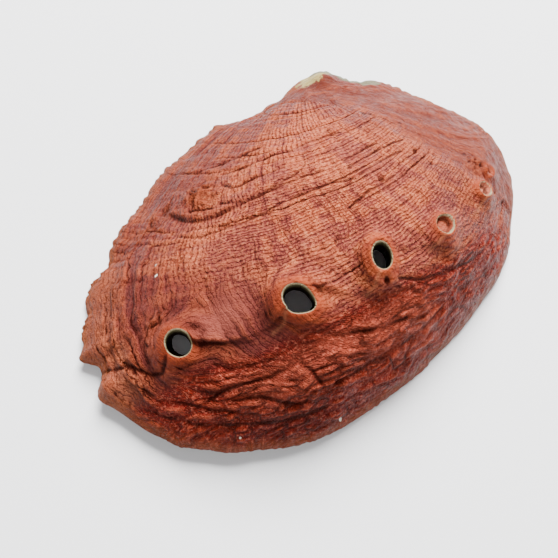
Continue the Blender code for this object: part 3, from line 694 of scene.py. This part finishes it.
def grown_values(x, y, r, patterns, bump, broad):
    """What the outer skin carries for its material, by name."""
    flank, warp2 = patterns["flank"], patterns["warp2"]
    groove = np.full(x.shape, 9.0)
    for _, _, points in GROOVES:
        distance, _ = wandering_distance(x, y, patterns, LINE_WANDER, points)
        groove = np.minimum(groove, distance + END_FADE * (1.0 - end_fade(x, y, points, END_FADE)))
    outside = {place: oval_distance(x, y, place) for place in HOLES + SCARS}
    pit = [smooth_step(1.4 * size, 0.7 * size, np.hypot(x - px, y - py)) for px, py, size in PITS]
    strongest = {
        "rim": [place[10] * bell(outside[place] + 0.1, 0.5) for place in SCARS],
        "plug": [pale * smooth_step(0, -0.8, outside[place]) for pale, place in zip(PLUG_PALE, SCARS)],
        "collar": [bell(np.maximum(outside[place], 0.0), 0.75 * place[3]) for place in outside],
        "slit": [bell(line_distance(x, y, points)[0], width) * end_fade(x, y, points, SLIT_FADE)
                 for _, width, points in SLITS],
        "worn": [spot(x, y, px, py, size, size) for px, py, size, _ in ROUGH_PATCHES],
        "speck": [spot(x, y, px, py, size, size) for px, py, size in SPECKS],
    }
    broken, _ = line_distance(x, y, BROKEN_EDGE)
    crest, crest_side = line_distance(x, y, CREST)
    past_crest = crest * crest_side
    # The upper flank is paler and pinker, and so is the hollow in front of the first hole: partly the
    # shell's colour, partly painted sheen
    row, row_side = line_distance(x, y, HOLE_ROW)
    pink_and_sheen = smooth_step(5, 11, row * row_side) * smooth_step(25, 13, row)
    pink_and_sheen = pink_and_sheen * smooth_step(20, 6, x) * smooth_step(-66, -52, x)
    pink_and_sheen = np.maximum(pink_and_sheen, spot(x, y, *HOLLOW_GLOW))
    # The front edge is tan; behind it, and up the far slope, the colour is darker
    young = young_share(x, y, r, flank)
    tan_rim = smooth_step(0.82, 0.90, r + 0.015 * warp2) * smooth_step(-52, -66, x)
    tan_rim = tan_rim * smooth_step(-14, -2, y)
    far_side = y - 0.2 * x
    darker_front_and_far = smooth_step(0.35, 0.75, young) * (1.0 - tan_rim) * (1.0 - smooth_step(38, 50, x))
    darker_front_and_far = np.maximum(darker_front_and_far, smooth_step(24, 42, far_side) * smooth_step(38, 18, x))
    return {
        **{name: patterns[name] for name in ("flank", "furrow cut", "halt cut", "streak")},
        **{name: patterns[name] * PATTERN_RADIUS for name in ("spiral", "growth", "furrow", "halt")},
        **{name: patterns[name + " line"] for name in ("fold", "fine fold", "step")},
        **{name: np.max(shares, axis=0) for name, shares in strongest.items()},
        "level": np.log2(patterns["radius"] / FINE_SPACING), "share": r, "groove": groove,
        # Hollows of the relief and the pits, where the material paints shade
        "hollow": np.maximum(np.clip((broad - bump) / 0.45, 0.0, 1.5), 1.5 * np.max(pit, axis=0)),
        # Ridges of the relief, where the material paints highlight
        "ridge": np.clip((bump - broad) / 0.40, 0.0, 1.5),
        "band": 0.6 * patterns["band"] + 0.7 * patterns["stripe"],
        "cream": spot(x, y, *CREAM), "broken edge": smooth_step(5, 2.5, broken),
        "saddle": saddle_share(x, y), "past crest": past_crest + 1.2 * patterns["warp"],
        "crest": smooth_step(-2, 8, past_crest) * smooth_step(*CREST_FROM, x),
        # Growth lines, not cords, lead in the fine weave of the far side too
        "young": young, "lead": np.maximum(young, smooth_step(8, 24, far_side)),
        "darker_front_and_far": darker_front_and_far, "tan rim": tan_rim, "pink_and_sheen": pink_and_sheen,
        # Darker towards the right end of the top
        "darker_right": smooth_step(24, 50, x) * (1.0 - flank),
    }


def shell():
    """The whole shell as one closed skin: outer sheet, rolled lip, inner sheet and hole walls."""
    bm = bmesh.new()
    layer = {name: bm.verts.layers.float.new(name) for name in GROWN}
    # Each hole runs square to its sloping rim and is a little narrower at the lining
    inner_holes = [
        (x + slope_x * WALL_DEPTH, y + slope_y * WALL_DEPTH, INNER_HOLE * long, INNER_HOLE * short, turn)
        for x, y, long, short, turn, _, slope_x, slope_y in HOLES]

    outer, x, y, angle, r = spread_sheet(bm, OUTER_CELLS, 0.0, HOLES)
    z = with_chimneys(x, y, dome_height(angle, r, CROWN_HEIGHT, EDGE_RISE))
    for vert, height in zip(outer, z):
        vert.co.z = height
    bm.normal_update()
    patterns = growth_patterns(x, y)
    bump = relief(x, y, r, patterns)
    bm.verts.index_update()
    number = {vert: i for i, vert in enumerate(outer)}
    pairs = dict.fromkeys(edge for vert in outer for edge in vert.link_edges)
    ends = np.array([(number[edge.verts[0]], number[edge.verts[1]]) for edge in pairs])
    broad = diffuse(bump, ends, SMOOTHING_ROUNDS)
    for name, column in grown_values(x, y, r, patterns, bump, broad).items():
        key = layer[name]
        for vert, value in zip(outer, column.tolist()):
            vert[key] = value
    rim_distance = np.min([np.abs(oval_distance(x, y, place)) for place in HOLES], axis=0)
    sideways = (1.0 - smooth_step(0.965, 0.998, r)) * smooth_step(0, 3, rim_distance)
    for vert, height, share in zip(outer, bump.tolist(), sideways.tolist()):
        vert.co += Vector((vert.normal.x * share, vert.normal.y * share, vert.normal.z)) * height

    inner, x, y, angle, r = spread_sheet(bm, INNER_CELLS, LIP_THICKNESS, inner_holes)
    shelf = ring_value(angle, SHELF_WIDTH) / ring_value(angle, DOME_MARGIN)
    dome = dome_height(angle, r / (1.0 - shelf), INNER_CROWN_HEIGHT, 0.0)
    ledge = ring_value(angle, MARGIN_LIFT) + SHELF_RISE * smooth_step(1, 1.0 - shelf - 0.05, r)
    z = np.where(shelf > 0.004, np.maximum(dome, ledge), dome)
    t, age, radius = growth_fields(x, y)
    for i, vert in enumerate(inner):
        vert.co.z = z[i]
        vert[layer["spiral"]] = float(t[i] * PATTERN_RADIUS)
        vert[layer["growth"]] = float(age[i] * PATTERN_RADIUS)
        vert[layer["share"]] = float(r[i])
    for face in {face for vert in inner for face in vert.link_faces}:
        face.material_index = NACRE_SLOT

    # The holes' rims roll over, and their walls run down to the lining
    for place in HOLES:
        edges = boundary_near(outer, place)
        for edge in edges:
            for vert in edge.verts:
                vert[layer["rim"]] = 0.55
        rim = roll_edge(bm, edges, place, [step[:2] for step in RIM_ROLL])
        # Each ring carries how far it lies in the hole's painted shade, and the walls lie wholly in it
        for ring, (_, _, depth) in zip(rim, RIM_ROLL):
            for vert in ring:
                vert[layer["rim"]] = 1.0
                vert[layer["depth"]] = depth
        wall = bmesh.ops.bridge_loops(bm, edges=open_edges(rim[-1]) + boundary_near(inner, place))["faces"]
        for vert in {vert for face in wall for vert in face.verts}:
            vert[layer["depth"]] = 1.0
    lip = roll_edge(bm, boundary_near(outer, None), CROWN, MARGIN_ROLL)
    for ring in lip:
        for vert in ring:
            vert[layer["share"]] = 1.0
    bmesh.ops.bridge_loops(bm, edges=open_edges(lip[-1]) + boundary_near(inner, None))

    for vert in bm.verts:
        vert.co.z = max(vert.co.z, 0.0)
    bmesh.ops.recalc_face_normals(bm, faces=bm.faces)
    bmesh.ops.translate(bm, verts=bm.verts, vec=(-PLAN_CENTRE[0], -PLAN_CENTRE[1], 0.0))
    bmesh.ops.scale(bm, verts=bm.verts, vec=(MM, MM, MM))
    piece = finished(bm, "shell")
    piece.data.shade_smooth()
    return piece


# Materials
SMOOTH = {"interpolation_type": "SMOOTHSTEP"}
TIMES = {"operation": "MULTIPLY"}
TIMES_PLUS = {"operation": "MULTIPLY_ADD"}


def hex_colour(code):
    """Turns an sRGB hex colour to linear."""
    channels = [int(code[i:i + 2], 16) / 255.0 for i in (1, 3, 5)]
    linear = [c / 12.92 if c <= 0.04045 else ((c + 0.055) / 1.055) ** 2.4 for c in channels]
    return (*linear, 1.0)


def add_node(tree, kind, inputs=(), output=0, **settings):
    """Adds a node, sets its properties, sets or links its inputs, and gives back one of its outputs."""
    node = tree.nodes.new("ShaderNode" + kind)
    for name, value in settings.items():
        setattr(node, name, value)
    for key, value in (inputs.items() if isinstance(inputs, dict) else enumerate(inputs)):
        if isinstance(value, bpy.types.NodeSocket):
            tree.links.new(value, node.inputs[key])
        else:
            node.inputs[key].default_value = value
    return node.outputs[output] if node.outputs else node


def new_material(name):
    """A material without nodes, and the function that adds a node to it."""
    material = bpy.data.materials.new(name)
    material.use_nodes = True
    material.node_tree.nodes.clear()
    return material, functools.partial(add_node, material.node_tree)


def woven_ridges(add, coordinate, level, octaves):
    """Ridges, 0 in a groove and 1 on a crest, that double in number with each octave of growth."""
    total = 0.0
    for octave in octaves:
        half = 0.5 * PATTERN_RADIUS / 2 ** octave
        wave = add("Math", (coordinate, half), operation="PINGPONG")
        wave = add("Math", (wave, half), operation="DIVIDE")
        away = add("Math", (level, float(octave)), operation="SUBTRACT")
        away = add("Math", (away,), operation="ABSOLUTE")
        share = add("Math", (1.0, away), operation="SUBTRACT", use_clamp=True)
        total = add("Math", (wave, share, total), **TIMES_PLUS)
    return total


def layered(add, body, layers):
    """Lays colours over a body colour, each with a share socket and a strength."""
    for share, strength, colour in layers:
        share = add("Math", (share, strength), use_clamp=True, **TIMES)
        body = add("Mix", {0: share, 6: body, 7: hex_colour(colour)}, 2, data_type="RGBA")
    return body


def outer_layer():
    """Prismatic calcite, grown in ridges: chalky orange crests, mauve between, glossy crimson-red folds;
    with painted highlight on crests and ridges and painted shade in gaps, grooves and hollows.
    """
    material, add = new_material("prismatic calcite, red outer layer")
    place = add("TexCoord", output="Object")
    grown = {name: add("Attribute", output="Fac", attribute_name=name) for name in GROWN}
    flank = add("MapRange", (grown["flank"], 0.1, 0.9), **SMOOTH)
    top = add("Math", (1.0, flank), operation="SUBTRACT")

    # Size in mm, detail and roughness of a sway that spaces the ridges unevenly, of grit, of flakes and of
    # patches. The real grit is finer than the picture can show, so it is drawn coarser
    sway, grit, flakes, patches = (
        add("TexNoise", {"Vector": place, "Scale": 1.0 / (size * MM), "Detail": detail, "Roughness": rough})
        for size, detail, rough in (
            (6.66667, 5.0, 0.68), (1.11111, 2.0, 0.75), (3.0303, 4.0, 0.65), (14.2857, 3.0, 0.55)))
    sway = add("Math", (sway, 0.5), operation="SUBTRACT")
    fray = add("Math", (grit, 0.5), operation="SUBTRACT")
    bare = add("Math", (grown["collar"], -0.62, 1.0), **TIMES_PLUS)
    bare = add("Math", (grown["saddle"], -0.75, bare), use_clamp=True, **TIMES_PLUS)

    # Fine creases of the flank, drawn out along the growth
    along = add("Math", (grown["growth"], 0.42), **TIMES)
    stretched = add("CombineXYZ", (grown["spiral"], along))
    crinkle = add("TexNoise", {
        "Vector": stretched, "Scale": 1.0 / CREASE_SPACING, "Detail": 4.0, "Roughness": 0.65})
    crinkle = add("Math", (crinkle, 0.5), operation="SUBTRACT")
    crinkle = add("Math", (crinkle,), operation="ABSOLUTE")
    creases = add("MapRange", (crinkle, 0.0, 0.05, 1.0, 0.0), **SMOOTH)
    creases = add("Math", (creases, flank), **TIMES)

    # Fine cords and growth lines cross in beads; where growth lines lead, the cords are the weaker
    cord_place = add("Math", (sway, 3.2, grown["spiral"]), **TIMES_PLUS)
    line_place = add("Math", (sway, -3.2, grown["growth"]), **TIMES_PLUS)
    cords = woven_ridges(add, cord_place, grown["level"], FINE_OCTAVES)
    lines = woven_ridges(add, line_place, grown["level"], FINE_OCTAVES)
    crossing = add("MapRange", (patches, 0.44, 0.60, 0.0, 0.70), **SMOOTH)
    main = add("Mix", {0: grown["lead"], 2: cords, 3: lines})
    cross = add("Mix", {0: grown["lead"], 2: lines, 3: cords})
    main, cross = (
        add("MapRange", (add("Math", (fray, 0.9, ridges), **TIMES_PLUS), low, high), **SMOOTH)
        for ridges, low, high in ((main, 0.05, 0.62), (cross, 0.02, 0.55)))
    mature = add("Math", (grown["young"], -0.45, 1.0), **TIMES_PLUS)
    mature = add("Math", (grown["darker_front_and_far"], -0.30, mature), **TIMES_PLUS)
    gaps = add("Math", (1.0, cross), operation="SUBTRACT", use_clamp=True)
    for part in (crossing, mature):
        gaps = add("Math", (gaps, part), **TIMES)
    weave = add("Math", (1.0, gaps), operation="SUBTRACT", use_clamp=True)
    weave = add("Math", (weave, main), **TIMES)

    # Past the crest, faint lines run along it, eight times as long as they are wide
    north = add("SeparateXYZ", (place,), 1)
    north = add("Math", (north, 0.12 / MM), **TIMES)
    beside = add("CombineXYZ", (grown["past crest"], north))
    lineation = add("TexNoise", {
        "Vector": beside, "Scale": 1.0 / LINEATION_SPACING, "Detail": 4.0, "Roughness": 0.65})
    lineation_low, lineation_high = (
        add("Math", (add("MapRange", (lineation, *limits), **SMOOTH), grown["crest"]), **TIMES)
        for limits in ((0.36, 0.52, 1.0, 0.0), (0.52, 0.66, 0.0, 1.0)))

    # Dark furrows and halts of growth over the top, frayed by the grit: partly the shell's darker colour in
    # them, partly painted shade
    clear = add("Math", (1.0, grown["crest"]), operation="SUBTRACT")
    faint = add("Math", (grown["crest"], -0.65, 1.0), **TIMES_PLUS)
    old = add("MapRange", (grown["young"], 0.0, 1.0, 1.0, 0.15))
    late = add("MapRange", (grown["young"], 0.0, 1.0, 0.35, 0.90))
    # Painted shade in the flank's fine creases
    dark_and_shade = add("Math", (creases, 0.55), **TIMES)
    for name, spacing, width, share, where in (
            ("furrow", FURROW_SPACING, 0.34, old, clear), ("halt", HALT_SPACING, 0.24, late, faint)):
        octaves_off = math.log2(spacing / FINE_SPACING)
        coarse = add("Math", (grown["level"], octaves_off), operation="SUBTRACT")
        ridges = woven_ridges(add, grown[name], coarse, COARSE_OCTAVES)
        ridges = add("Math", (fray, 0.5, ridges), **TIMES_PLUS)
        line = add("MapRange", (ridges, 0.2 * width, width, 1.0, 0.0), **SMOOTH)
        for part in (share, grown[name + " cut"], top, where):
            line = add("Math", (line, part), **TIMES)
        dark_and_shade = add("Math", (dark_and_shade, line), operation="MAXIMUM")
    # Dark lines, partly the shell's colour and partly painted shade, in mm from the middle: wrinkles,
    # growth steps and the named grooves
    ragged = add("Math", (flakes, 1.2, -0.60), **TIMES_PLUS)
    for name, width, strength, where in (("fold", 0.40, 0.85, flank), ("fine fold", 0.30, 0.60, flank),
                                         ("step", 0.30, 0.45, top), ("groove", 0.50, 1.0, bare)):
        away = add("Math", (grown[name],), operation="ABSOLUTE")
        away = add("Math", (away, ragged), operation="ADD")
        line = add("MapRange", (away, 0.4 * width, 1.6 * width, strength, 0.0), **SMOOTH)
        line = add("Math", (line, where), **TIMES)
        dark_and_shade = add("Math", (dark_and_shade, line), operation="MAXIMUM")
    hidden = add("MapRange", (patches, 0.34, 0.58, 0.30, 1.0), **SMOOTH)
    for part in (hidden, bare):
        dark_and_shade = add("Math", (dark_and_shade, part), **TIMES)
    # Painted shade in the hollows of the relief and in the pits, weaker on the flank and on the pinker
    # upper flank
    hollow_shade = add("MapRange", (grown["hollow"], 0.25, 1.1), **SMOOTH)
    shaded = add("Math", (flank, -0.45, 1.0), **TIMES_PLUS)
    shaded = add("Math", (grown["pink_and_sheen"], -0.20, shaded), **TIMES_PLUS)
    hollow_shade = add("Math", (hollow_shade, shaded), **TIMES)
    # Painted highlight on the ridges of the relief
    high = add("MapRange", (grown["ridge"], 0.1, 0.9), **SMOOTH)

    tint = flakes
    for pattern, weight in ((grown["streak"], 0.65), (grown["band"], 0.80), (patches, 1.8)):
        tint = add("Math", (pattern, weight, tint), **TIMES_PLUS)
    warm = add("MapRange", (tint, 0.95, 1.90), **SMOOTH)
    # Painted shade in the gaps of the weave, and painted highlight on its beads
    weave_gap_shade = add("MapRange", (weave, 0.0, 0.35, 1.0, 0.0), **SMOOTH)
    weave_gap_shade = add("Math", (weave_gap_shade, clear), **TIMES)
    beads = add("MapRange", (weave, 0.45, 0.95), **SMOOTH)
    grains = add("MapRange", (grit, 0.52, 0.64), **SMOOTH)
    pores = add("MapRange", (grit, 0.36, 0.46, 1.0, 0.0), **SMOOTH)
    rough = add("Math", (grown["crest"], -0.55, bare), use_clamp=True, **TIMES_PLUS)
    grains, pores = (add("Math", (part, rough), **TIMES) for part in (grains, pores))
    lit = add("MapRange", (warm, 0.0, 1.0, 0.62, 1.0))
    lit = add("Math", (lit, mature), **TIMES)
    lit_grains, bead_highlight = (add("Math", (part, lit), **TIMES) for part in (grains, beads))
    mauve = add("MapRange", (grown["band"], -0.45, 0.15, 1.0, 0.0), **SMOOTH)
    mauve = add("Math", (mauve, grown["young"]), **TIMES)

    over = layered(add, hex_colour("#602624"), (
        (warm, 0.85, "#8A3F26"), (grown["young"], 0.35, "#602822"), (mauve, 0.80, "#3A161B"),
        # The weave gap layer is painted shade; the bead layer is painted highlight
        (grown["tan rim"], 0.50, "#8E5036"), (weave_gap_shade, 0.38, "#35120C"), (bead_highlight, 0.42, "#A2583E"),
        (grown["crest"], 0.75, "#5C241A"), (lineation_low, 0.50, "#481A16"),
        (lineation_high, 0.50, "#8A4226"), (pores, 0.55, "#36110E"), (lit_grains, 0.50, "#B86E4C"),
        # The ridge layer here is painted highlight
        (high, 0.35, "#9C4A2E"), (grown["darker_front_and_far"], 0.30, "#481A16"), (grown["darker_right"], 0.26, "#44201C")))
    side = layered(add, hex_colour("#601712"), (
        (warm, 0.50, "#7A2412"), (pores, 0.45, "#2C0A08"), (grains, 0.50, "#B86450"),
        # On the flank too the ridge layer is painted highlight
        (high, 0.60, "#9C442E"), (patches, 0.20, "#4A120F")))
    body = add("Mix", {0: flank, 6: over, 7: side}, 2, data_type="RGBA")
    rind = add("Math", (flakes, 0.06, grown["share"]), **TIMES_PLUS)
    rind = add("MapRange", (rind, 0.980, 1.03), **SMOOTH)
    scabby = add("MapRange", (flakes, 0.35, 0.65), **SMOOTH)
    chalk = add("Math", (scabby, 0.3, grown["cream"]), **TIMES_PLUS)
    chalk = add("MapRange", (chalk, 0.62, 0.80), **SMOOTH)
    bared = add("Math", (scabby, 0.5, grown["broken edge"]), **TIMES_PLUS)
    bared = add("MapRange", (bared, 0.60, 0.95), **SMOOTH)
    speckle = add("Math", (chalk, bared), operation="MAXIMUM")
    speckle = add("Math", (speckle, pores), **TIMES)
    pale_rim = add("Math", (ragged, -0.45, grown["rim"]), **TIMES_PLUS)
    pale_rim = add("MapRange", (pale_rim, 0.5, 0.85), **SMOOTH)
    body = layered(add, body, (
        # The pinker upper flank is partly painted sheen
        (grown["pink_and_sheen"], 0.38, "#9E4C38"), (grown["collar"], 0.60, "#7E3016"),
        (grown["saddle"], 0.45, "#9C5244"), (grown["plug"], 0.60, "#B06C58"),
        # The hollow layer is painted shade; the dark-line layer after it is partly painted shade
        (grown["worn"], 0.50, "#5E2A18"), (hollow_shade, 0.80, "#2B0805"), (dark_and_shade, 0.90, "#2A0704"),
        (grown["slit"], 0.25, "#B87452"), (rind, 0.50, "#7E4528"),
        (chalk, 1.0, "#8A7A4C"), (bared, 0.95, "#5E5C48"), (speckle, 0.8, "#463C24"),
        (add("MapRange", (grown["speck"], 0.45, 0.65), **SMOOTH), 1.0, "#CFCABA"),
        (pale_rim, 0.95, "#857C60"),
        # Painted shade down into each hole: darker olive under the rim, near black on the wall
        (add("MapRange", (grown["depth"], 0.03, 0.25), **SMOOTH), 1.0, "#4A4630"),
        (add("MapRange", (grown["depth"], 0.25, 0.75), **SMOOTH), 1.0, "#140B07")))

    roughness = 0.40
    for pattern, weight in ((scabby, 0.16), (warm, 0.14), (flank, -0.06)):
        roughness = add("Math", (pattern, weight, roughness), **TIMES_PLUS)
    raised = add("Math", (weave, clear), **TIMES)
    raised = add("Math", (raised, bare), **TIMES)
    height = 0.0
    for pattern, weight in ((raised, 0.60), (grit, 0.80), (flakes, 0.50), (creases, -0.70), (dark_and_shade, -0.50),
                            (lineation_low, -0.30)):
        height = add("Math", (pattern, weight, height), **TIMES_PLUS)
    bump = add("Bump", {"Strength": 0.9, "Distance": 0.6 * MM, "Height": height})
    shader = add("BsdfPrincipled", {
        "IOR": 1.5, "Specular IOR Level": 0.08, "Specular Tint": hex_colour("#EBA88C"), "Base Color": body,
        "Roughness": roughness, "Normal": bump})
    add("OutputMaterial", {"Surface": shader})
    return material


def nacre():
    """Mother-of-pearl lining: polished aragonite plates that shift from silver to green, pink and blue."""
    material, add = new_material("nacre lining")
    place = add("TexCoord", output="Object")
    spiral, growth, share = (add("Attribute", output="Fac", attribute_name=name)
                             for name in ("spiral", "growth", "share"))
    # Bands of colour, 17 mm by 10 mm
    along = add("Math", (growth, 0.02), **TIMES)
    across = add("Math", (spiral, 0.035), **TIMES)
    swirl = add("CombineXYZ", (along, across))
    bands = add("TexNoise", {"Vector": swirl, "Scale": 3.0, "Detail": 5.0, "Roughness": 0.6})
    colour = add("ValToRGB", (bands,))
    ramp = colour.node.color_ramp
    stops = ((0.30, "#5E8A78"), (0.42, "#A39598"), (0.50, "#96707A"), (0.58, "#8D9C94"), (0.70, "#55798C"))
    while len(ramp.elements) < len(stops):
        ramp.elements.new(0.5)
    for element, (position, code) in zip(ramp.elements, stops):
        element.position = position
        element.color = hex_colour(code)
    # A ragged red border, uneven over 17 mm, and gentle waves of 22 mm
    ragged = add("TexNoise", {"Vector": place, "Scale": 60.0, "Detail": 4.0})
    ragged = add("Math", (ragged, 0.03, share), **TIMES_PLUS)
    edge = add("MapRange", (ragged, 0.970, 0.987), **SMOOTH)
    colour = layered(add, colour, ((edge, 1.0, "#5A1A10"),))
    roughness = add("MapRange", (edge, 0.0, 1.0, 0.22, 0.5), **SMOOTH)
    wave = add("TexNoise", {"Vector": place, "Scale": 45.0, "Detail": 2.0})
    bump = add("Bump", {"Strength": 0.25, "Distance": 0.8 * MM, "Height": wave})
    shader = add("BsdfPrincipled", {
        "IOR": 1.6, "Coat Weight": 0.3, "Coat Roughness": 0.12, "Base Color": colour,
        "Roughness": roughness, "Normal": bump})
    add("OutputMaterial", {"Surface": shader})
    return material


def floor_material():
    """Plain pale matt floor."""
    material, add = new_material("pale plaster floor")
    shader = add("BsdfPrincipled", {"Base Color": hex_colour("#E2E2E3"), "Roughness": 0.9})
    add("OutputMaterial", {"Surface": shader})
    return material


# The part
piece = shell()
piece.data.materials.append(outer_layer())
piece.data.materials.append(nacre())
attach(piece, "root")
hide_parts("abalone_shell")

# Floor, light and camera
FLOOR_HALF_WIDTH = 4.0
bm = bmesh.new()
bmesh.ops.create_grid(bm, x_segments=1, y_segments=1, size=FLOOR_HALF_WIDTH)
floor = finished(bm, "floor")
floor.data.materials.append(floor_material())

CAMERA_AZIMUTH = math.radians(-40.92)
CAMERA_ELEVATION = math.radians(68.0)
CAMERA_DISTANCE = 0.3021
CAMERA_TARGET = Vector((-0.01428, -0.00265, 0.0))


def aim(thing, target):
    thing.rotation_euler = (target - thing.location).to_track_quat("-Z", "Y").to_euler()


def direction(azimuth, elevation):
    return Vector((math.sin(azimuth) * math.cos(elevation), -math.cos(azimuth) * math.cos(elevation),
                   math.sin(elevation)))


camera_data = bpy.data.cameras.new("camera")
camera_data.lens = 50.0
camera_data.sensor_width = 36.0
camera_data.clip_start = 0.01
camera = placed(bpy.data.objects.new("camera", camera_data))
camera.location = CAMERA_TARGET + direction(CAMERA_AZIMUTH, CAMERA_ELEVATION) * CAMERA_DISTANCE
aim(camera, CAMERA_TARGET)
bpy.context.scene.camera = camera


def soft_box(name, azimuth, elevation, distance, size, power):
    """A square area light that looks at the shell."""
    data = bpy.data.lights.new(name, "AREA")
    data.shape = "SQUARE"
    data.size = size
    data.energy = power
    lamp = placed(bpy.data.objects.new(name, data))
    lamp.location = direction(math.radians(azimuth), math.radians(elevation)) * distance
    aim(lamp, Vector((0.0, 0.0, 0.0)))


soft_box("window light", azimuth=124.0, elevation=52.0, distance=1.3, size=0.8, power=97.0)
soft_box("fill", azimuth=-40.0, elevation=65.0, distance=1.5, size=0.8, power=10.0)

world = bpy.data.worlds.new("studio")
world.use_nodes = True
sky = world.node_tree.nodes["Background"]
sky.inputs["Color"].default_value = hex_colour("#F4F6FA")
sky.inputs["Strength"].default_value = 0.34
bpy.context.scene.world = world
